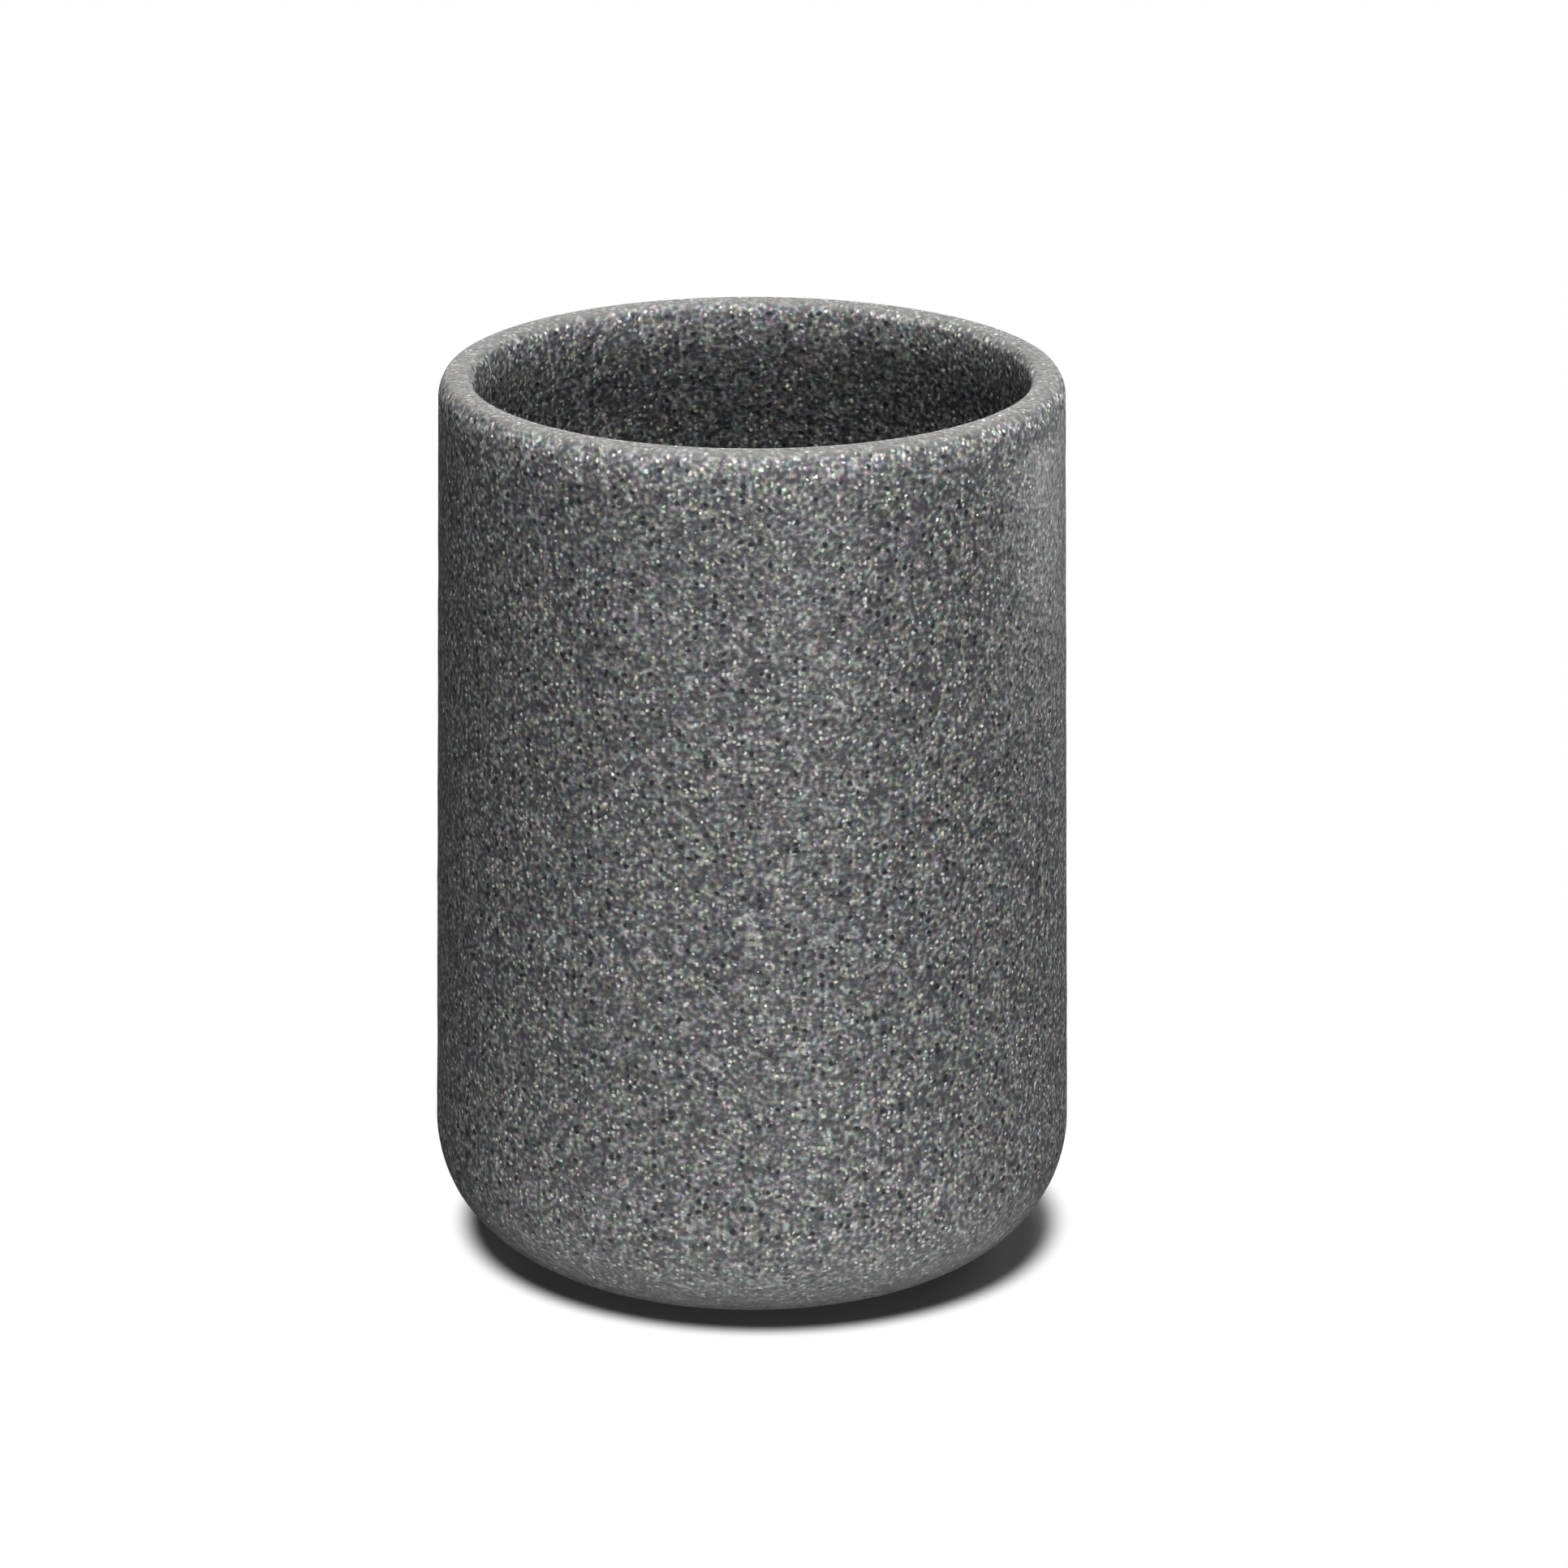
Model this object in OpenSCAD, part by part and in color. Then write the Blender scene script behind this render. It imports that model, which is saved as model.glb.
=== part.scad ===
// Bathroom tumbler: a one-piece cup cast in stone-filled resin, standing on a thin foam pad.
// Millimetres, +Z up. The origin is the centre of the pad's underside, where the tumbler stands.
// Every piece is turned about the Z axis.

/* [Cup outside] */
// Widest diameter of the cup, low on the wall
cup_d = 75; // [65:0.5:90]
// Height of the casting, from its underside to the rim
cup_h = 105.5; // [90:0.5:125]
// Difference between the widest diameter and the leaning wall's diameter at the height of the rim
mouth_inset = 3.2; // [0.4:0.2:8]
// Radius of the rounding between the wall and the underside
heel_r = 15; // [8:0.5:20]
// Radius of the slow rounding from the wall up towards the rim
shoulder_r = 3.5; // [2:0.25:5]
// Radius of the tight rounding between the slow one and the flat of the rim
edge_r = 0.8; // [0.4:0.1:1.4]

/* [Cup inside] */
// Thickness of the wall at the mouth
wall_t = 4; // [3.2:0.1:6]
// Thickness of the floor
floor_t = 6; // [4:0.5:10]
// Radius of the rounding between the inside wall and the floor
bowl_r = 11; // [4:0.5:16]
// Radius of the eased inner edge of the rim
lip_r = 1.5; // [0.6:0.1:2]

/* [Foam pad] */
// Thickness of the foam pad that the cup stands on
pad_t = 1; // [0.8:0.1:3]
// Width of bare casting left round the pad on the flat underside
pad_margin = 2; // [1:0.25:5]
// Thickness of the adhesive film between the pad and the cup
film_t = 0.2; // [0.1:0.05:0.4]

/* [Hidden] */
$fn = 160;

// Angle that the slow rounding of the rim turns through before the tight one takes over, a slope of 3 in 4
shoulder_turn = atan2(3, 4);
// Angles that the roundings stop short of level, where the sanded flats cut across them
heel_cut = 6;
edge_cut = 15;
lip_cut = 30;

// Centre of the heel's rounding, placed so that its outermost point is the widest of the cup
heel_x = cup_d / 2 - heel_r;
heel_y = heel_r * cos(heel_cut);
// Flat underside that sanding leaves inside the heel's rounding
flat_d = 2 * (heel_x + heel_r * sin(heel_cut));

// Diameter that the leaning wall has come down to at the height of the rim
mouth_d = cup_d - mouth_inset;
// Angle that the wall leans in by: it touches the heel's circle and reaches mouth_d at the rim's height
to_mouth = [mouth_d / 2 - heel_x, cup_h - heel_y];
wall_lean = atan2(to_mouth[1], to_mouth[0]) - acos(heel_r / norm(to_mouth));
// Place of the tight rounding's centre beside the heel's centre, measured across and along the wall
edge_across = heel_r - shoulder_r + (shoulder_r - edge_r) * cos(shoulder_turn);
edge_along = (to_mouth[1] - edge_r * cos(edge_cut) - edge_across * sin(wall_lean)) / cos(wall_lean);
// Length of the straight wall between the heel's rounding and the rim's
wall_run = edge_along - (shoulder_r - edge_r) * sin(shoulder_turn);
// Thickness of solid that is drawn behind the leaning wall, which always reaches into the cavity's space
wall_fill = heel_r + wall_t + mouth_inset;

// Inside of the cup
cavity_r = mouth_d / 2 - wall_t;
bowl_x = cavity_r - bowl_r;
bowl_y = floor_t + bowl_r;
cavity_run = cup_h - bowl_y;
lip_drop = lip_r * cos(lip_cut);

// Pad and film are cut with one punch
pad_d = flat_d - 2 * pad_margin;
film_z = pad_t;
cup_z = pad_t + film_t;

// Overrun of every shape that a cut passes through
overrun = wall_t;

// Rectangle with its lower right corner at its place, w to the left and h up
module block_left(w, h) rotate(90) square([h, w]);

// Upper half of a disc, cut level through its centre
module half_disc(r) intersection() {
    circle(r);
    translate([-2 * r, 0]) square([4 * r, 2 * r]);
}

// Slice of a disc from level on the right up through an angle of at most 90 degrees
module slice(r, angle) intersection() {
    circle(r);
    square(2 * r);
    rotate(angle) translate([0, -2 * r]) square(2 * r);
}

// Outer rounding of the rim: a slow arc up the side, a tight one at the top and the solid behind them
module shoulder_section() {
    slice(shoulder_r, shoulder_turn);
    rotate(shoulder_turn) translate([shoulder_r - edge_r, 0]) {
        half_disc(edge_r);
        rotate(-shoulder_turn) translate([0, -shoulder_r])
            block_left(wall_fill - shoulder_r, shoulder_r + edge_r + overrun);
    }
}

// Outside of the cup as half a section, before the flat of the rim and the underside are cut
module outer_section() {
    translate([heel_x, heel_y]) rotate(wall_lean) {
        rotate(180) half_disc(heel_r);
        translate([heel_r, 0]) {
            block_left(wall_fill, wall_run);
            translate([-shoulder_r, wall_run]) shoulder_section();
        }
    }
    translate([0, -overrun]) square([heel_x, overrun + max(heel_y, bowl_y)]);
}

// Centre of the inner edge's rounding, counted from the inside wall at the bowl's height
module at_lip() translate([lip_r, cavity_run - lip_drop]) children();

// Inside of the cup as half a section: floor, rounding, straight wall and a step for the inner edge
module cavity_section() {
    translate([bowl_x, bowl_y]) {
        rotate(-90) slice(bowl_r, 90);
        translate([0, -bowl_r]) block_left(bowl_x + overrun, 2 * bowl_r);
        translate([bowl_r, 0]) {
            block_left(cavity_r + overrun, cavity_run + overrun);
            at_lip() block_left(lip_r + overrun, lip_drop + overrun);
        }
    }
}

// Rounding of the rim's inner edge, which fills the step in the cavity
module lip_section() {
    translate([bowl_x, bowl_y]) translate([bowl_r, 0]) at_lip() rotate(90) slice(lip_r, 90);
}

// One casting: wall, floor and roundings, sanded flat underneath and on the rim
module cup_body() {
    color("#696968") translate([0, 0, cup_z]) rotate_extrude() intersection() {
        union() {
            difference() {
                outer_section();
                cavity_section();
            }
            lip_section();
        }
        square([cup_d, cup_h]);
    }
}

// Double-sided film that holds the pad on the sanded underside
module pad_adhesive() {
    color("#d8d6cc") translate([0, 0, film_z]) cylinder(d = pad_d, h = film_t);
}

// Punched disc of closed-cell foam that stops the cup from slipping
module base_pad() {
    color("#1d1d1e") cylinder(d = pad_d, h = pad_t);
}

cup_body();
pad_adhesive();
base_pad();
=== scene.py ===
# %% [markdown]
# # Bathroom tumbler: a cup cast in stone-filled resin
#
# This lesson dresses a bathroom tumbler. The real one is poured, not carved: polyester resin is stirred
# with stone powder and coloured sand, poured into a rubber mould, and sanded flat on the rim and on the
# underside. A thin foam disc is stuck underneath, so that the grit does not scratch the basin.
#
# The solids come first. They are loaded as a fixed frame, and everything made here fits around them.

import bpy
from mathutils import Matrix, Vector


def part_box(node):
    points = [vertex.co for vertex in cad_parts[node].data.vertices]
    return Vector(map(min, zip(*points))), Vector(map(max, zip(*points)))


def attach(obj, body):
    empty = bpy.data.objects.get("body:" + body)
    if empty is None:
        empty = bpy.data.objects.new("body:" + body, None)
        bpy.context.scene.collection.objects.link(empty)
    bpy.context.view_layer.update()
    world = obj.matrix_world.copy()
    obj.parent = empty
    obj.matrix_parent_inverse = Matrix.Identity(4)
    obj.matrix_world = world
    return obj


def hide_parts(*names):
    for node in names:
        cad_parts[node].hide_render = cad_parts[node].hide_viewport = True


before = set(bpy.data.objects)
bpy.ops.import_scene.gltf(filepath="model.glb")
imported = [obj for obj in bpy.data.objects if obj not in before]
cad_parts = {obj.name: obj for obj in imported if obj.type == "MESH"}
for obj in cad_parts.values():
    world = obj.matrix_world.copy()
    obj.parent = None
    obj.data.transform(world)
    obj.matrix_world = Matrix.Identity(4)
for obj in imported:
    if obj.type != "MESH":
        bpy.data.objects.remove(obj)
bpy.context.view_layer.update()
print("CAD nodes:", sorted(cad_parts))

# %% [markdown]
# ## Units
#
# All sizes below are in millimetres, as a maker would write them, and Blender works in metres. One constant
# turns one into the other. Heights, and the radii of pad and film, are read from the frame, so that nothing
# made here can miss the place where its neighbour starts. The cup's own radii are written out further down,
# because its outline is built again from them.

# %% Tools and units
import math

import bpy
from mathutils import Vector, noise

MM = 0.001
QUARTER = math.pi / 2


def extent_mm(node):
    """Radius, lowest point and highest point of a round CAD node in millimetres."""
    low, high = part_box(node)
    return high.x / MM, low.z / MM, high.z / MM


cup_wide, cup_low, cup_high = extent_mm("cup_body")
film_wide, film_low, film_high = extent_mm("pad_adhesive")
pad_wide, pad_low, pad_high = extent_mm("base_pad")
print(f"cup: radius {cup_wide:.2f}, from {cup_low:.2f} to {cup_high:.2f} mm")
print(f"film: radius {film_wide:.2f}, from {film_low:.2f} to {film_high:.2f} mm")
print(f"pad: radius {pad_wide:.2f}, from {pad_low:.2f} to {pad_high:.2f} mm")

# %% [markdown]
# ## The outline of the casting
#
# A cup like this is round, so one outline turned about the axis gives all of it. A Screw modifier on a curve
# would do that too, but then the rings lie where the modifier puts them. Listing the points puts the
# rings close together on the roundings, where light changes quickly, and further apart on the straight wall.
#
# The outline follows the solid: a heel of 15 mm, a wall that leans in by about a degree, a slow rounding and
# a tight one at the rim, an eased inner edge, and a straight bore that ends in a rounded bottom.

# %% Sizes of the outline, in millimetres
CUP_R = 37.5
CUP_H = cup_high - cup_low
MOUTH_INSET = 1.6
HEEL_R = 15.0
SHOULDER_R = 3.5
EDGE_R = 0.8
WALL_T = 4.0
BORE_R = CUP_R - MOUTH_INSET - WALL_T
FLOOR_T = 6.0
BOWL_R = 11.0
LIP_R = 1.5
print(f"wall {WALL_T} mm at the mouth, bore {2 * BORE_R:.1f} mm wide and {CUP_H - FLOOR_T:.1f} mm deep")

# %% Angles that the roundings turn through
SHOULDER_TURN = math.atan2(3, 4)
HEEL_CUT = math.radians(6)
EDGE_CUT = math.radians(15)
LIP_CUT = math.radians(30)
print(f"the slow rounding turns {math.degrees(SHOULDER_TURN):.1f} degrees before the tight one takes over")

# %% Steps along each stretch of the outline
FOOT_STEPS = 6
HEEL_STEPS = 26
WALL_STEPS = 98
SHOULDER_STEPS = 6
EDGE_STEPS = 4
RIM_STEPS = 4
LIP_STEPS = 8
BORE_STEPS = 68
BOWL_STEPS = 16
FLOOR_STEPS = 12
heel_step = (QUARTER - HEEL_CUT) * HEEL_R / HEEL_STEPS
lip_step = (QUARTER - LIP_CUT) * LIP_R / LIP_STEPS
print(f"one step is {heel_step:.2f} mm long on the heel and {lip_step:.2f} mm on the lip")

# %% Arcs and straight stretches


def arc(centre, radius, start, end, pieces):
    """Points (r, z) of an arc, without its first point."""
    turns = [start + (end - start) * k / pieces for k in range(1, pieces + 1)]
    return [(centre[0] + radius * math.cos(t), centre[1] + radius * math.sin(t)) for t in turns]


def run(start, end, pieces):
    """Points (r, z) of a straight stretch, without its first point."""
    shares = [k / pieces for k in range(1, pieces + 1)]
    return [(start[0] + (end[0] - start[0]) * s, start[1] + (end[1] - start[1]) * s) for s in shares]


# %% Outline of the cup


def cup_outline():
    """Half section of the cup, from the axis under the floor to the axis inside it."""
    heel = (CUP_R - HEEL_R, HEEL_R * math.cos(HEEL_CUT))
    mouth = (CUP_R - MOUTH_INSET - heel[0], CUP_H - heel[1])
    lean = math.atan2(mouth[1], mouth[0]) - math.acos(HEEL_R / math.hypot(*mouth))
    across = HEEL_R - SHOULDER_R + (SHOULDER_R - EDGE_R) * math.cos(SHOULDER_TURN)
    along = (mouth[1] - EDGE_R * math.cos(EDGE_CUT) - across * math.sin(lean)) / math.cos(lean)
    wall_run = along - (SHOULDER_R - EDGE_R) * math.sin(SHOULDER_TURN)

    def beside_heel(x, y):
        """A place counted from the heel's centre, x across the leaning wall and y along it."""
        right = x * math.cos(lean) - y * math.sin(lean)
        up = x * math.sin(lean) + y * math.cos(lean)
        return (heel[0] + right, heel[1] + up)

    lip = (BORE_R + LIP_R, CUP_H - LIP_R * math.cos(LIP_CUT))
    points = [(0.0, 0.0)]
    points += run(points[-1], (heel[0] + HEEL_R * math.sin(HEEL_CUT), 0.0), FOOT_STEPS)
    points += arc(heel, HEEL_R, HEEL_CUT - QUARTER, lean, HEEL_STEPS)
    points += run(points[-1], beside_heel(HEEL_R, wall_run), WALL_STEPS)
    turned_to = lean + SHOULDER_TURN
    points += arc(beside_heel(HEEL_R - SHOULDER_R, wall_run), SHOULDER_R, lean, turned_to, SHOULDER_STEPS)
    points += arc(beside_heel(across, along), EDGE_R, turned_to, QUARTER - EDGE_CUT, EDGE_STEPS)
    points += run(points[-1], (lip[0] - LIP_R * math.sin(LIP_CUT), CUP_H), RIM_STEPS)
    points += arc(lip, LIP_R, QUARTER + LIP_CUT, 2 * QUARTER, LIP_STEPS)
    points += run(points[-1], (BORE_R, FLOOR_T + BOWL_R), BORE_STEPS)
    points += arc((BORE_R - BOWL_R, FLOOR_T + BOWL_R), BOWL_R, 0.0, -QUARTER, BOWL_STEPS)
    points += run(points[-1], (0.0, FLOOR_T), FLOOR_STEPS)
    return points


cup_section = cup_outline()
print("cup outline:", len(cup_section), "points")

# %% [markdown]
# ## The uneven skin of a casting
#
# A rubber mould gives way a little and resin shrinks as it cures, so a cast wall is never as true as a turned
# one. It wanders by a few hundredths of a millimetre over a few millimetres, which shows as faint clouds in
# the light. This could be bump in the material. Moving the vertices costs little and also reaches the mesh
# that other programs read.
#
# Every point moves into the material and never out of it, so that the cup keeps inside its solid. The rim,
# the underside and the floor stay true, because the first two are sanded and the last is the mould's flat
# core. A power of how level the surface lies fades the relief out there, and leaves it whole on the wall.

# %% Relief of the casting
RELIEF_MM = 0.08
RELIEF_WIDE_MM = 5.0
RELIEF_FINE_MM = 2.2
WIDE_WEIGHT = 0.9
FINE_WEIGHT = 0.6
LEVEL_POWER = 6


def outward(points, k):
    """Direction (r, z) in which the outline's surface faces at point k, worked out from its neighbours."""
    before, after = points[max(k - 1, 0)], points[min(k + 1, len(points) - 1)]
    step = Vector((after[0] - before[0], after[1] - before[1])).normalized()
    return step.y, -step.x


def cast_relief(place):
    """How deep the skin lies under its true surface at a place, in millimetres."""
    wide = noise.noise(place / RELIEF_WIDE_MM)
    fine = noise.noise(place / RELIEF_FINE_MM)
    swell = max(-1.0, min(1.0, WIDE_WEIGHT * wide + FINE_WEIGHT * fine))
    return RELIEF_MM * (1 + swell) / 2


# %% [markdown]
# ## Turning an outline
#
# The turned mesh has one vertex on the axis at each end and a closed ring for every other point. The rings
# are joined with four-sided faces, and the ends with a fan of triangles. The same lathe makes the cup, the
# film and the pad.

# %% Lathe


def ring_points(points, k, around, depth):
    """Ring k of a turned shape, each of its points moved into the material by depth(place)."""
    r, z = points[k]
    face_r, face_z = outward(points, k)
    uneven = 1 - abs(face_z) ** LEVEL_POWER
    ring = []
    for j in range(around):
        turn = 2 * math.pi * j / around
        place = Vector((r * math.cos(turn), r * math.sin(turn), z))
        sunk = depth(place) * uneven if depth else 0.0
        width = r - face_r * sunk
        ring.append((width * math.cos(turn), width * math.sin(turn), z - face_z * sunk))
    return ring


def ring_faces(rings, around):
    """Faces of a closed turned shape whose vertices are: start, ring after ring, end."""
    last = 1 + rings * around
    faces = []
    for k in range(around):
        j = (k + 1) % around
        faces.append((0, 1 + j, 1 + k))
        for low in range(1, last - around, around):
            faces.append((low + k, low + j, low + around + j, low + around + k))
        faces.append((last, last - around + k, last - around + j))
    return faces


def turned(name, points, lift, around, depth=None):
    """A closed mesh: points (r, z) in millimetres turned about the Z axis, the first and last on the axis."""
    verts = [(0.0, 0.0, points[0][1])]
    for k in range(1, len(points) - 1):
        verts += ring_points(points, k, around, depth)
    verts.append((0.0, 0.0, points[-1][1]))
    placed = [(x * MM, y * MM, (z + lift) * MM) for x, y, z in verts]
    mesh = bpy.data.meshes.new(name)
    mesh.from_pydata(placed, [], ring_faces(len(points) - 2, around))
    mesh.shade_smooth()
    piece = bpy.data.objects.new(name, mesh)
    bpy.context.scene.collection.objects.link(piece)
    return piece


# %% [markdown]
# ## The cup
#
# The cup is one casting, so it is one closed mesh. It stands for the solid cup, which stays hidden for
# collisions. 396 points around make faces 0.6 mm wide, too small to show as corners on the rim.

# %% Cup
CUP_AROUND = 396

cup = turned("cast_cup", cup_section, cup_low, CUP_AROUND, cast_relief)
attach(cup, "root")
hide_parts("cup_body")
print("cup mesh:", len(cup.data.vertices), "vertices,", len(cup.data.polygons), "faces")

# %% [markdown]
# ## The foam pad
#
# A disc of closed-cell foam, 1 mm thick, keeps the cup from sliding and its grit off the basin. It is punched
# out of a sheet with a steel rule. The rule drags the sheet's skin down at the edge it enters, so that edge
# is rounder than the other, and between them the foam bulges a little under the cup's weight.
#
# A plain disc would do for collisions, and that is what the solid is. The piece here has the punched edge.
# Foam this thin hardly gives.

# %% Pad
PAD_AROUND = 180
PAD_BULGE = 0.08
DRAGGED_R = 0.3
CRISP_R = 0.12

# %% Steps along the pad's outline
UNDERSIDE_STEPS = 24
DRAGGED_STEPS = 5
BULGE_STEPS = 4
CRISP_STEPS = 3
PAD_TOP_STEPS = 10


def pad_outline(wide, thick):
    """Half section of the punched disc from its underside to its top."""
    side = wide - PAD_BULGE
    points = [(0.0, 0.0)]
    points += run(points[-1], (side - DRAGGED_R, 0.0), UNDERSIDE_STEPS)
    points += arc((side - DRAGGED_R, DRAGGED_R), DRAGGED_R, -QUARTER, 0.0, DRAGGED_STEPS)
    upright = thick - DRAGGED_R - CRISP_R
    for step in range(1, BULGE_STEPS + 1):
        share = step / BULGE_STEPS
        bulge = PAD_BULGE * math.sin(math.pi * share)
        points.append((side + bulge, DRAGGED_R + upright * share))
    points += arc((side - CRISP_R, thick - CRISP_R), CRISP_R, 0.0, QUARTER, CRISP_STEPS)
    points += run(points[-1], (0.0, thick), PAD_TOP_STEPS)
    return points


pad = turned("foam_pad", pad_outline(pad_wide, pad_high - pad_low), pad_low, PAD_AROUND)
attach(pad, "root")
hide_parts("base_pad")

# %% [markdown]
# ## The adhesive film
#
# The foam comes with a double-sided film on one face: a clear carrier with a coat of acrylic glue on each
# side. It is punched together with the foam. The blade squeezes the glue, so its edge is rounded and creeps
# back a few hundredths of a millimetre behind the foam's.

# %% Film
GLUE_CREEP = 0.06
FILM_BEAD = 0.09
FILM_FACE_STEPS = 10
BEAD_STEPS = 3


def film_outline(wide, thick):
    """Half section of the film, its edge rounded above and below."""
    side = wide - GLUE_CREEP
    points = [(0.0, 0.0)]
    points += run(points[-1], (side - FILM_BEAD, 0.0), FILM_FACE_STEPS)
    points += arc((side - FILM_BEAD, FILM_BEAD), FILM_BEAD, -QUARTER, 0.0, BEAD_STEPS)
    points += arc((side - FILM_BEAD, thick - FILM_BEAD), FILM_BEAD, 0.0, QUARTER, BEAD_STEPS)
    points += run(points[-1], (0.0, thick), FILM_FACE_STEPS)
    return points


film = turned("glue_film", film_outline(film_wide, film_high - film_low), film_low, PAD_AROUND)
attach(film, "root")
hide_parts("pad_adhesive")
print("film mesh:", len(film.data.vertices), "vertices")

# %% [markdown]
# ## Colours and nodes
#
# Colours are written as hex values, as a paint chart gives them, and one function turns them to the linear
# numbers that shaders use. One more function adds a node, with its settings and its links, and serves every
# kind of node. Patterns are laid out in millimetres from the object's own origin, so that they stay on the
# piece from any side.

# %% Helpers for materials


def linear(hex_colour):
    """An sRGB hex colour such as #696968 as linear RGBA."""
    channels = [int(hex_colour[k : k + 2], 16) / 255 for k in (1, 3, 5)]
    return (*(c / 12.92 if c <= 0.04045 else ((c + 0.055) / 1.055) ** 2.4 for c in channels), 1.0)


def add(material, kind, inputs=None, **settings):
    """One node with its settings. inputs maps a socket's name or number to a value or to another socket."""
    tree = material.node_tree
    node = tree.nodes.new(kind)
    for key, value in settings.items():
        setattr(node, key, value)
    for key, value in (inputs or {}).items():
        if isinstance(value, bpy.types.NodeSocket):
            tree.links.new(value, node.inputs[key])
        else:
            node.inputs[key].default_value = value
    return node


def started(name):
    """A new material, its Principled shader, and the place on the object in millimetres."""
    material = bpy.data.materials.new(name)
    material.use_nodes = True
    place = add(material, "ShaderNodeTexCoord").outputs["Object"]
    scaled = add(material, "ShaderNodeVectorMath", {0: place, "Scale": 1 / MM}, operation="SCALE")
    return material, material.node_tree.nodes["Principled BSDF"], scaled.outputs["Vector"]


# %% [markdown]
# Three patterns come back again and again: a value that eases from one number to another over a distance, a
# colour laid over another by a share, and grains sown at random. Each is one small recipe of nodes.

# %% Recipes of nodes


def eased(material, value, start, end, low=0.0, high=1.0):
    """low up to start, high from end on, and a smooth curve between."""
    ends = {"Value": value, "From Min": start, "From Max": end, "To Min": low, "To Max": high}
    return add(material, "ShaderNodeMapRange", ends, interpolation_type="SMOOTHSTEP").outputs[0]


def mixed(material, share, under, over, blend="MIX"):
    """Colour over laid on colour under by a share."""
    inputs = {0: share, 6: under, 7: over}
    return add(material, "ShaderNodeMix", inputs, data_type="RGBA", blend_type=blend).outputs[2]


def sown(material, where, width, share, edge):
    """Grains width mm wide in a share of all cells: where they lie, and a random number for each.

    edge gives, in cell widths from a grain's middle, where it starts to fade and where it ends."""
    cells = add(material, "ShaderNodeTexVoronoi", {"Vector": where, "Scale": 1 / width})
    luck = add(material, "ShaderNodeSeparateColor", {"Color": cells.outputs["Color"]}).outputs
    chosen = add(material, "ShaderNodeMath", {0: luck["Red"], 1: share}, operation="LESS_THAN").outputs[0]
    body = eased(material, cells.outputs["Distance"], edge[0], edge[1], 1.0, 0.0)
    lies = add(material, "ShaderNodeMath", {0: chosen, 1: body}, operation="MULTIPLY").outputs[0]
    return lies, luck["Green"]


# %% [markdown]
# ## Cast stone
#
# The real material is polyester resin, about a quarter of the weight, filled with dolomite powder and graded
# sand. The makers call it polyresin or resin stone. After casting, the skin is blasted, so the sand lies bare
# and feels like fine sandpaper. The eye sees a dark grey ground, pale and grey grains, a few dark spots, and
# a weak broad shine, because each grain is still wetted by resin.
#
# The grains could be scattered as geometry, but there are about half a million of them. Noise and Voronoi
# cells in the object's own space do the same, and they run through wall and rim without a seam, as real
# grains do. The finest powder, under 0.1 mm, would be smaller than a pixel here and is left to the average.

# %% Grain sizes in millimetres
SAND_MM = 0.58
CLUMP_MM = 1.5
HUE_MM = 0.9
GRAIN_MM = 0.6
DARK_SPOT_MM = 1.0
GLINT_MM = 0.9

# %% Colours of the stone
RESIN_GREY = "#363639"
SAND_PALE = "#b0b1ad"
GRAIN_GREY = "#7b7c7a"
GRAIN_WHITE = "#c2c3bd"
DARK_SPOT_BLACK = "#242427"
PAINTED_GLINT_WHITE = "#f4f4ee"
SANDING_DUST = "#62615f"
MOULD_SKIN = "#5d5e5d"

# %% [markdown]
# ### Ground: powder and sand
#
# Two noises make the ground: one as fine as the sand, and a wider one for the clumps that stirring leaves.
# Their sum is raised to a power, because grains are few and bright against much dark resin.

# %% Ground of the stone
CLUMP_WEIGHT = 0.5
CLUMP_DETAIL = 2.0
SAND_DETAIL = 0.8
SAND_ROUGHNESS = 0.45
SAND_STARTS, SAND_FULL = 0.42, 1.18
SAND_RARITY = 2.75

stone, stone_shader, at = started("cast_stone_polyresin")
clump_inputs = {"Vector": at, "Scale": 1 / CLUMP_MM, "Detail": CLUMP_DETAIL}
clump = add(stone, "ShaderNodeTexNoise", clump_inputs).outputs["Fac"]
sand_inputs = {"Vector": at, "Scale": 1 / SAND_MM, "Detail": SAND_DETAIL, "Roughness": SAND_ROUGHNESS}
sand = add(stone, "ShaderNodeTexNoise", sand_inputs).outputs
both = add(stone, "ShaderNodeMath", {0: clump, 1: CLUMP_WEIGHT, 2: sand["Fac"]}, operation="MULTIPLY_ADD")
ramp_inputs = {"Value": both.outputs[0], "From Min": SAND_STARTS, "From Max": SAND_FULL}
ramp = add(stone, "ShaderNodeMapRange", ramp_inputs).outputs[0]
sandy = add(stone, "ShaderNodeMath", {0: ramp, 1: SAND_RARITY}, operation="POWER").outputs[0]
stone_colour = mixed(stone, sandy, linear(RESIN_GREY), linear(SAND_PALE))
print("ground of the stone: sand", SAND_MM, "mm in clumps of", CLUMP_MM, "mm")

# %% [markdown]
# ### Single grains and dark spots
#
# Larger grains are sown over the ground. Voronoi cells alone look like round beads, so the place is first
# bent by the sand's noise, and the grains come out chipped. Natural sand is a mixture of warm and cold
# stones, so a weak hue is laid over all of it. Dark spots are sown too, as near-black dots in the colour.

# %% Grains
BEND_MM = 0.5
GRAIN_SHARE = 0.35
GRAIN_EDGE = (0.15, 0.5)
HUE_WEIGHT = 0.3
HUE_DETAIL = 1.0

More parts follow.
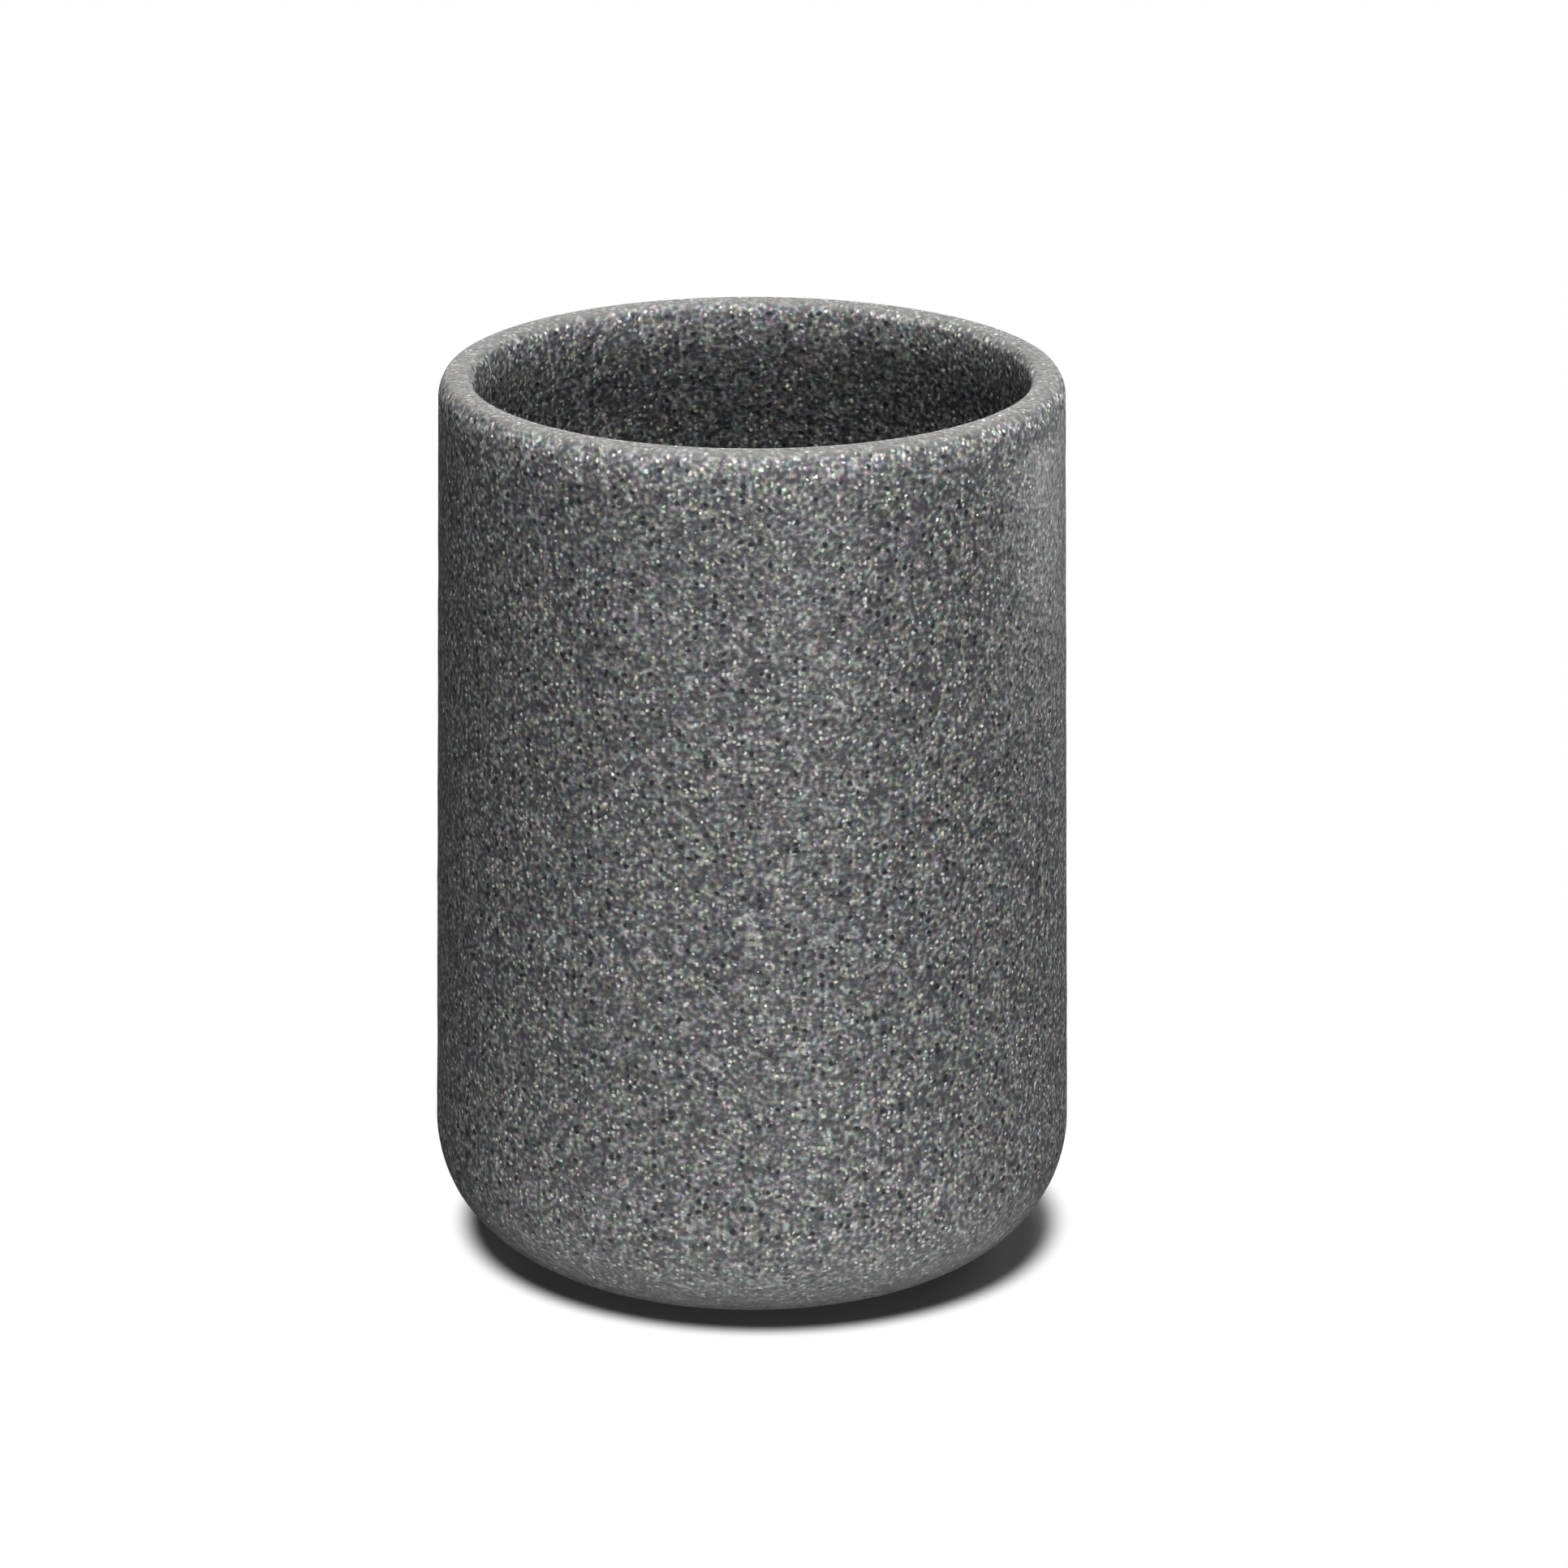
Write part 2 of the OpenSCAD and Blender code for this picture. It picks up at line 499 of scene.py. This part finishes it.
bend_inputs = {0: sand["Color"], 1: (BEND_MM, BEND_MM, BEND_MM), 2: at}
bent = add(stone, "ShaderNodeVectorMath", bend_inputs, operation="MULTIPLY_ADD").outputs["Vector"]
pale, luck = sown(stone, bent, GRAIN_MM, GRAIN_SHARE, GRAIN_EDGE)
grain_colour = mixed(stone, luck, linear(GRAIN_GREY), linear(GRAIN_WHITE))
stone_colour = mixed(stone, pale, stone_colour, grain_colour)
hue_inputs = {"Vector": at, "Scale": 1 / HUE_MM, "Detail": HUE_DETAIL}
hue = add(stone, "ShaderNodeTexNoise", hue_inputs).outputs["Color"]
stone_colour = mixed(stone, HUE_WEIGHT, stone_colour, hue, "SOFT_LIGHT")
print("grains of", GRAIN_MM, "mm in", GRAIN_SHARE, "of the cells")

# %% Dark spots
DARK_SPOT_SHARE = 0.28
DARK_SPOT_EDGE = (0.18, 0.48)

dark_spot, _ = sown(stone, bent, DARK_SPOT_MM, DARK_SPOT_SHARE, DARK_SPOT_EDGE)
# The dark spots are near-black dots laid into the colour.
stone_colour = mixed(stone, dark_spot, stone_colour, linear(DARK_SPOT_BLACK))
print("pits in", DARK_SPOT_SHARE, "of the cells, which are", DARK_SPOT_MM, "mm wide")

# %% [markdown]
# ### The heel, as it left the mould
#
# The blasting is aimed at the wall and hardly reaches the lowest part of the heel. There the skin of resin
# and powder is still whole, so the grains show through it only faintly.

# %% Skin on the heel
SKIN_WHOLE_MM = 1.0
SKIN_GONE_MM = 14.0
SKIN_SHARE = 0.66

level = add(stone, "ShaderNodeSeparateXYZ", {0: at}).outputs["Z"]
skin = eased(stone, level, cup_low + SKIN_WHOLE_MM, cup_low + SKIN_GONE_MM, SKIN_SHARE, 0.0)
stone_colour = mixed(stone, skin, stone_colour, linear(MOULD_SKIN))
print("skin whole up to", SKIN_WHOLE_MM, "mm and gone at", SKIN_GONE_MM, "mm above the underside")

# %% [markdown]
# ### The rim, sanded by hand, with painted light
#
# The mould is filled from the open side and overfilled, so the rim is ground level on a belt and its edges
# are broken by hand with sandpaper. That scratches the resin white between the grains: the last millimetres
# are paler, most of all the inner edge, and the flat on top holds dust that evens out its grains. Part of
# that
# paleness is painted light: the colour is scaled up over the top to stand in for the overhead light on it.

# %% Sanded rim, with painted light
SANDED_AND_PAINTED_LIGHT_MM = 6.0
SANDED_AND_PAINTED_LIGHT_FULL_MM = 1.5
SANDING_AND_PAINTED_LIGHT_OUTSIDE = 0.46
SANDING_AND_PAINTED_LIGHT_INSIDE = 0.8
EDGE_GAIN_FROM_MM = 0.3
EDGE_GAIN_TO_MM = 1.2
DUST_SHARE = 0.65
DUST_FROM_MM = 0.9
DUST_FULL_MM = 0.1

sanded_and_painted_light = eased(stone, level, cup_high - SANDED_AND_PAINTED_LIGHT_MM, cup_high - SANDED_AND_PAINTED_LIGHT_FULL_MM)
plan_inputs = {0: at, 1: (1.0, 1.0, 0.0)}
in_plan = add(stone, "ShaderNodeVectorMath", plan_inputs, operation="MULTIPLY").outputs["Vector"]
from_axis = add(stone, "ShaderNodeVectorMath", {0: in_plan}, operation="LENGTH").outputs["Value"]
edge_gain_from, edge_gain_to = BORE_R + EDGE_GAIN_FROM_MM, BORE_R + EDGE_GAIN_TO_MM
edge_gain = eased(stone, from_axis, edge_gain_from, edge_gain_to, SANDING_AND_PAINTED_LIGHT_INSIDE, SANDING_AND_PAINTED_LIGHT_OUTSIDE)
# The gain is partly the paler sanded resin and partly painted light on the top and the inner edge.
sanding_and_painted_light_gain = add(stone, "ShaderNodeMath", {0: sanded_and_painted_light, 1: edge_gain, 2: 1.0}, operation="MULTIPLY_ADD").outputs[0]
paler_inputs = {0: stone_colour, "Scale": sanding_and_painted_light_gain}
paler = add(stone, "ShaderNodeVectorMath", paler_inputs, operation="SCALE").outputs["Vector"]
dust = eased(stone, level, cup_high - DUST_FROM_MM, cup_high - DUST_FULL_MM, 0.0, DUST_SHARE)
stone_colour = mixed(stone, dust, paler, linear(SANDING_DUST))
print("sanded over the top", SANDED_AND_PAINTED_LIGHT_MM, "mm")

# %% [markdown]
# ### Painted glints
#
# Here and there a flake of mica or a clean quartz face throws the light back. These glints are painted
# highlights: rare near-white dots in the colour, and more of them are painted near the rim, where the light
# from above glances off the shoulder. Each is 0.2 mm wide on the real cup, and is drawn a little wider here,
# so that it holds a pixel.

# %% Painted glints
GLINT_EDGE = (0.12, 0.26)
GLINT_SHARE_LOW, GLINT_SHARE_HIGH = 0.008, 0.03
GLINT_FEW_MM = 16.0
GLINT_MANY_MM = 3.0

glint_inputs = {
    "Value": level,
    "From Min": cup_high - GLINT_FEW_MM,
    "From Max": cup_high - GLINT_MANY_MM,
    "To Min": GLINT_SHARE_LOW,
    "To Max": GLINT_SHARE_HIGH,
}
glint_share = add(stone, "ShaderNodeMapRange", glint_inputs).outputs[0]
glint, _ = sown(stone, bent, GLINT_MM, glint_share, GLINT_EDGE)
# Painted highlight: the glints are near-white colour, not a reflection from the shader.
stone_colour = mixed(stone, glint, stone_colour, linear(PAINTED_GLINT_WHITE))
stone.node_tree.links.new(stone_colour, stone_shader.inputs["Base Color"])
print("glints in", GLINT_SHARE_LOW, "of the cells, and in", GLINT_SHARE_HIGH, "near the rim")

# %% [markdown]
# ### Gloss and grit
#
# Cured polyester has an IOR of about 1.5 to 1.56. Blasted, it is rough, about 0.45, and the sanded rim is
# rougher still. Bare grains shine more than the resin between them, and a dark spot hardly shines at all. The
# sand also stands proud of the resin, by a tenth of a millimetre, which is bump.

# %% Gloss and grit
RESIN_IOR = 1.5
BLASTED, SANDED_ROUGH = 0.45, 0.8
SHINE_RESIN, SHINE_GRAIN, SHINE_DARK_SPOT = 0.25, 0.5, 0.12
SHINE_FULL = 0.3
GRIT_MM = 0.1

shine_inputs = {"Value": sandy, "From Max": SHINE_FULL, "To Min": SHINE_RESIN, "To Max": SHINE_GRAIN}
shine = add(stone, "ShaderNodeMapRange", shine_inputs).outputs[0]
open_shine = add(stone, "ShaderNodeMix", {0: dark_spot, 2: shine, 3: SHINE_DARK_SPOT}).outputs[0]
stone.node_tree.links.new(open_shine, stone_shader.inputs["Specular IOR Level"])
grit_inputs = {"Height": sand["Fac"], "Strength": 1.0, "Distance": GRIT_MM * MM}
grit = add(stone, "ShaderNodeBump", grit_inputs).outputs[0]
stone.node_tree.links.new(grit, stone_shader.inputs["Normal"])
rough_inputs = {"Value": sanded_and_painted_light, "To Min": BLASTED, "To Max": SANDED_ROUGH}
rough = add(stone, "ShaderNodeMapRange", rough_inputs).outputs[0]
stone.node_tree.links.new(rough, stone_shader.inputs["Roughness"])
stone_shader.inputs["IOR"].default_value = RESIN_IOR

cup.data.materials.append(stone)
print("stone:", len(stone.node_tree.nodes), "nodes")

# %% [markdown]
# ## Closed-cell foam
#
# The pad is cross-linked polyethylene or EVA foam in black, sliced from a block. Slicing cuts its cells open,
# so both faces are a field of tiny cups between thin walls, and dead matt. The light catches the walls and
# the cups hold shade, and both are painted into the colour: paler walls and black cups. The cells of such
# foam are about 0.25 mm wide. That would flicker at this size, so they are drawn 0.6 mm wide.
#
# Voronoi cells are close to how bubbles meet, so their distance to the edge gives the walls, both for the
# painted light and shade in the colour and for the bump. A wide noise adds the uneven grey of a face that has
# stood on wet stone.

# %% Foam
CELL_MM = 0.6
STAIN_MM = 7.0
CELL_DEEP_MM = 0.12
CELL_WALL = (0.02, 0.16)
STAIN_FROM, STAIN_FULL = 0.5, 0.8
STAIN_SHARE = 0.35
STAIN_DETAIL = 4.0
FOAM_BLACK = "#161617"
FOAM_WALL_PAINTED_LIGHT = "#4c4c4d"
FOAM_STAIN = "#4a4845"
FOAM_IOR = 1.5
FOAM_ROUGH_CELL, FOAM_ROUGH_WALL = 0.95, 0.7

foam, foam_shader, at = started("closed_cell_eva_foam")
cells_inputs = {"Vector": at, "Scale": 1 / CELL_MM}
cells = add(foam, "ShaderNodeTexVoronoi", cells_inputs, feature="DISTANCE_TO_EDGE").outputs["Distance"]
wall = eased(foam, cells, CELL_WALL[0], CELL_WALL[1], 1.0, 0.0)
# Painted light and shade: the cell walls are paler and the cups black in the colour.
foam_colour = mixed(foam, wall, linear(FOAM_BLACK), linear(FOAM_WALL_PAINTED_LIGHT))
stain_inputs = {"Vector": at, "Scale": 1 / STAIN_MM, "Detail": STAIN_DETAIL}
stain = add(foam, "ShaderNodeTexNoise", stain_inputs).outputs["Fac"]
stained = eased(foam, stain, STAIN_FROM, STAIN_FULL, 0.0, STAIN_SHARE)
foam_colour = mixed(foam, stained, foam_colour, linear(FOAM_STAIN))
foam.node_tree.links.new(foam_colour, foam_shader.inputs["Base Color"])
foam_rough_inputs = {"Value": wall, "To Min": FOAM_ROUGH_CELL, "To Max": FOAM_ROUGH_WALL}
foam_rough = add(foam, "ShaderNodeMapRange", foam_rough_inputs).outputs[0]
foam.node_tree.links.new(foam_rough, foam_shader.inputs["Roughness"])
foam_bump_inputs = {"Height": wall, "Strength": 1.0, "Distance": CELL_DEEP_MM * MM}
foam_bump = add(foam, "ShaderNodeBump", foam_bump_inputs).outputs[0]
foam.node_tree.links.new(foam_bump, foam_shader.inputs["Normal"])
foam_shader.inputs["IOR"].default_value = FOAM_IOR
pad.data.materials.append(foam)
print("foam:", len(foam.node_tree.nodes), "nodes, cells of", CELL_MM, "mm")

# %% [markdown]
# ## Acrylic adhesive film
#
# Only the edge of the film shows. It is a milky band with small air bubbles where the glue did not wet the
# stone, smooth but not glossy. A clear shader would show the dark stone behind it, and so thin a band would
# come out nearly black, so it is a pale plastic with a weak cloud of bubbles.

# %% Film finish
BUBBLE_MM = 0.8
CLOUD_MM = 3.0
GLUE_MILKY = "#d8d6cc"
GLUE_BUBBLE = "#efeee8"
GLUE_YELLOWED = "#bdb596"
GLUE_IOR = 1.47
GLUE_ROUGH, BUBBLE_ROUGH = 0.35, 0.6
BUBBLE_HIGH_MM = 0.02
BUBBLE_SHARE = 0.3
BUBBLE_EDGE = (0.15, 0.3)
AGED_FROM, AGED_FULL = 0.4, 0.7
AGED_SHARE = 0.6
CLOUD_DETAIL = 3.0

glue, glue_shader, at = started("acrylic_adhesive_film")
cloud_inputs = {"Vector": at, "Scale": 1 / CLOUD_MM, "Detail": CLOUD_DETAIL}
cloud = add(glue, "ShaderNodeTexNoise", cloud_inputs).outputs["Fac"]
aged = eased(glue, cloud, AGED_FROM, AGED_FULL, 0.0, AGED_SHARE)
glue_colour = mixed(glue, aged, linear(GLUE_MILKY), linear(GLUE_YELLOWED))
bubble, _ = sown(glue, at, BUBBLE_MM, BUBBLE_SHARE, BUBBLE_EDGE)
glue_colour = mixed(glue, bubble, glue_colour, linear(GLUE_BUBBLE))
glue.node_tree.links.new(glue_colour, glue_shader.inputs["Base Color"])
glue_rough_inputs = {"Value": bubble, "To Min": GLUE_ROUGH, "To Max": BUBBLE_ROUGH}
glue_rough = add(glue, "ShaderNodeMapRange", glue_rough_inputs).outputs[0]
glue.node_tree.links.new(glue_rough, glue_shader.inputs["Roughness"])
glue_bump_inputs = {"Height": bubble, "Strength": 1.0, "Distance": BUBBLE_HIGH_MM * MM}
glue_bump = add(glue, "ShaderNodeBump", glue_bump_inputs).outputs[0]
glue.node_tree.links.new(glue_bump, glue_shader.inputs["Normal"])
glue_shader.inputs["IOR"].default_value = GLUE_IOR
film.data.materials.append(glue)
print("film:", len(glue.node_tree.nodes), "nodes")

# %% [markdown]
# ## The white board
#
# The tumbler stands on matt white board, a plain disc so wide that its edge never shows. The overhead light
# makes it far brighter than the cup, so the camera sees it as paper white and only the gap under the rounded
# heel stays dark, where the cup hides the light. A plane with a white floor colour would need stronger light
# to burn out, and that light would fall on the cup too.
#
# So the board has two looks. For the camera it is lit board inside the gap, where it keeps the cup's shadow,
# but painted dark grey, so that shadow is deepened by painted shade. Outside it turns into plain white of
# strength 1. The ring between the two looks is a painted shadow edge, and it grows a little towards the
# sides, as the shadow under the heel does.

# %% Board
BOARD_R = 3000.0
BOARD_AROUND = 96

board_mesh = bpy.data.meshes.new("board")
board_turns = [2 * math.pi * k / BOARD_AROUND for k in range(BOARD_AROUND)]
board_ring = [(BOARD_R * MM * math.cos(t), BOARD_R * MM * math.sin(t), 0.0) for t in board_turns]
board_mesh.from_pydata(board_ring, [], [tuple(range(BOARD_AROUND))])
board = bpy.data.objects.new("board", board_mesh)
bpy.context.scene.collection.objects.link(board)
print("board radius", BOARD_R, "mm")

# %% [markdown]
# For all other rays, the board is what lights the cup from below. A small white card lies in front, close to
# the heel, and the rest is dark. So the heel is lit from below and the sides of the wall are not. The stone
# mirrors nothing, so glossy rays see this board and not the white one, which its rough shine would spread
# over the dark side of the cup.

# %% Light that the board throws back
CARD_SIDE = math.radians(5)
CARD_FROM = -2.0
CARD_TO = 45.0
CARD_NEAR = 45.0
CARD_FAR = 120.0
CARD_DARK = 0.05
CARD_PALE = 0.59

paper, _, at = started("matt_white_board")
reach = add(paper, "ShaderNodeVectorMath", {0: at}, operation="LENGTH").outputs["Value"]
card = eased(paper, reach, CARD_NEAR, CARD_FAR, CARD_PALE, CARD_DARK)
to_card = (math.sin(CARD_SIDE), -math.cos(CARD_SIDE), 0.0)
ahead = add(paper, "ShaderNodeVectorMath", {0: at, 1: to_card}, operation="DOT_PRODUCT").outputs["Value"]
albedo = eased(paper, ahead, CARD_FROM, CARD_TO, CARD_DARK, card)
print("card of albedo", CARD_PALE, "fades out from", CARD_NEAR, "to", CARD_FAR, "mm")

# %% Painted shadow in the gap under the heel
GAP_SIDE = math.radians(-10)
GAP_R = 27.2
GAP_GROWS = 6.0
GAP_EDGE = 4.0
# Painted shade: for the camera, the board inside the ring is dark grey, which deepens the real shadow under
# the heel.
GAP_PAINTED_SHADE = 0.15

around = add(paper, "ShaderNodeVectorMath", {0: at}, operation="NORMALIZE").outputs["Vector"]
to_front = (math.sin(GAP_SIDE), -math.cos(GAP_SIDE), 0.0)
front_inputs = {0: around, 1: to_front}
facing = add(paper, "ShaderNodeVectorMath", front_inputs, operation="DOT_PRODUCT").outputs["Value"]
moved = add(paper, "ShaderNodeMath", {0: facing, 1: GAP_GROWS, 2: reach}, operation="MULTIPLY_ADD").outputs[0]
# Painted shadow edge: outside this ring the camera sees plain white board instead of shaded board.
outside_painted_shadow = eased(paper, moved, GAP_R + GAP_GROWS, GAP_R + GAP_GROWS + GAP_EDGE)
print("gap reaches", GAP_R, "mm out in front and", GAP_R + GAP_GROWS, "mm at the sides")

# %% The board's two looks
PAPER_WHITE = "#ffffff"

rays = add(paper, "ShaderNodeLightPath").outputs
looked_at = {0: rays["Is Camera Ray"], 1: rays["Is Transmission Ray"]}
seen = add(paper, "ShaderNodeMath", looked_at, operation="MAXIMUM").outputs[0]
white_share = add(paper, "ShaderNodeMath", {0: seen, 1: outside_painted_shadow}, operation="MULTIPLY").outputs[0]
albedo_and_painted_shade = add(paper, "ShaderNodeMix", {0: seen, 2: albedo, 3: GAP_PAINTED_SHADE}).outputs[0]
lit_board = add(paper, "ShaderNodeBsdfDiffuse", {"Color": albedo_and_painted_shade}).outputs[0]
plain_white = add(paper, "ShaderNodeEmission", {"Color": linear(PAPER_WHITE), "Strength": 1.0}).outputs[0]
look = add(paper, "ShaderNodeMixShader", {0: white_share, 1: lit_board, 2: plain_white}).outputs[0]
paper.node_tree.links.new(look, paper.node_tree.nodes["Material Output"].inputs["Surface"])
board.data.materials.append(paper)
print("board material:", len(paper.node_tree.nodes), "nodes")

# %% [markdown]
# ## Light
#
# A soft box overhead makes the sanded rim the palest part and leaves the only shadow under the heel. Two low
# strips in front open up the wall, at the level at which a colour renders as it is written. They stand well
# apart, so that the broad shine of the wall does not gather in its middle. The right one is the stronger,
# and nothing stands at the left side, so that side of the cup falls dark. Both stand so low that hardly any
# of their light falls through the mouth, and the inside stays dark.
#
# A small light close behind the right side draws its edge. A strip behind the cup does nothing for this view.
# It keeps the back from going black when someone walks round.

# %% Lamps


def lamp(name, azimuth, elevation, distance, width, height, radiance):
    """An area lamp that faces the cup.

    Azimuth 0 is the camera's side and 90 is on the right. Lengths are in millimetres. Radiance 1 is white."""
    data = bpy.data.lights.new(name, "AREA")
    data.shape = "RECTANGLE"
    data.size = width * MM
    data.size_y = height * MM
    data.energy = math.pi * radiance * data.size * data.size_y
    light = bpy.data.objects.new(name, data)
    bpy.context.scene.collection.objects.link(light)
    side, up = math.radians(azimuth), math.radians(elevation)
    towards = Vector((math.sin(side) * math.cos(up), -math.cos(side) * math.cos(up), math.sin(up)))
    middle = Vector((0, 0, cup_high / 2))
    light.location = (middle + towards * distance) * MM
    light.rotation_euler = (-towards).to_track_quat("-Z", "Y").to_euler()
    light.visible_camera = False
    print(f"{name}: {data.energy:.2f} W")


lamp("soft_box_overhead", azimuth=30, elevation=82, distance=1200, width=550, height=550, radiance=36.0)
lamp("front_left_fill", azimuth=-25, elevation=5, distance=1200, width=700, height=250, radiance=9.0)
lamp("front_right_fill", azimuth=20, elevation=5, distance=1200, width=400, height=250, radiance=28.5)
lamp("edge_light", azimuth=112, elevation=14, distance=130, width=60, height=60, radiance=3.8)
lamp("back_fill", azimuth=180, elevation=5, distance=1200, width=700, height=250, radiance=15.0)

# %% [markdown]
# The world is a weak even light, and plain white for the camera, so that the background is white above the
# board's horizon too.

# %% World
AMBIENT = 0.04

world = bpy.data.worlds.new("studio")
bpy.context.scene.world = world
world.use_nodes = True
sky = world.node_tree.nodes["Background"]
sky.inputs["Color"].default_value = linear(PAPER_WHITE)
rays = add(world, "ShaderNodeLightPath").outputs
looked_at = {0: rays["Is Camera Ray"], 1: rays["Is Transmission Ray"]}
shown = add(world, "ShaderNodeMath", looked_at, operation="MAXIMUM")
strength = add(world, "ShaderNodeMapRange", {"Value": shown.outputs[0], "To Min": AMBIENT, "To Max": 1.0})
world.node_tree.links.new(strength.outputs[0], sky.inputs["Strength"])
print("even light of", AMBIENT, "from all round")

# %% [markdown]
# ## Camera
#
# The camera was fitted to the photographed outlines of rim, wall and heel: it looks down by 18.85 degrees
# through a long lens, from 700 mm away when measured level. The lens comes from how many pixels a
# millimetre takes at the cup's middle, and the shift is the distance between the picture's middle and
# the cup's.

# %% Camera
PHOTO_SIDE_PX = 1932
CUP_MIDDLE_PX = (926.6, 995.4)
CAMERA_DISTANCE = 700.0
ELEVATION = math.radians(18.85)
SENSOR_MM = 36.0
PX_PER_MM = 10.518
NEAREST_M, FURTHEST_M = 0.01, 10.0

aim = Vector((0.0, 0.0, cup_low + CUP_H / 2))
eye = Vector((0.0, -CAMERA_DISTANCE, aim.z + CAMERA_DISTANCE * math.tan(ELEVATION)))
camera_data = bpy.data.cameras.new("camera")
camera = bpy.data.objects.new("camera", camera_data)
bpy.context.scene.collection.objects.link(camera)
camera.location = eye * MM
camera.rotation_euler = (aim - eye).to_track_quat("-Z", "Y").to_euler()
focal_px = PX_PER_MM * (aim - eye).length
camera_data.sensor_width = SENSOR_MM
camera_data.lens = focal_px / PHOTO_SIDE_PX * SENSOR_MM
camera_data.shift_x = (PHOTO_SIDE_PX / 2 - CUP_MIDDLE_PX[0]) / PHOTO_SIDE_PX
camera_data.shift_y = (CUP_MIDDLE_PX[1] - PHOTO_SIDE_PX / 2) / PHOTO_SIDE_PX
camera_data.clip_start = NEAREST_M
camera_data.clip_end = FURTHEST_M
bpy.context.scene.camera = camera
print(f"lens {camera_data.lens:.1f} mm, shift {camera_data.shift_x:.4f} and {camera_data.shift_y:.4f}")

# %% [markdown]
# ## Finish
#
# The Standard view keeps colours as they are written.

# %% View and finish
bpy.context.scene.view_settings.view_transform = "Standard"
bpy.context.view_layer.update()
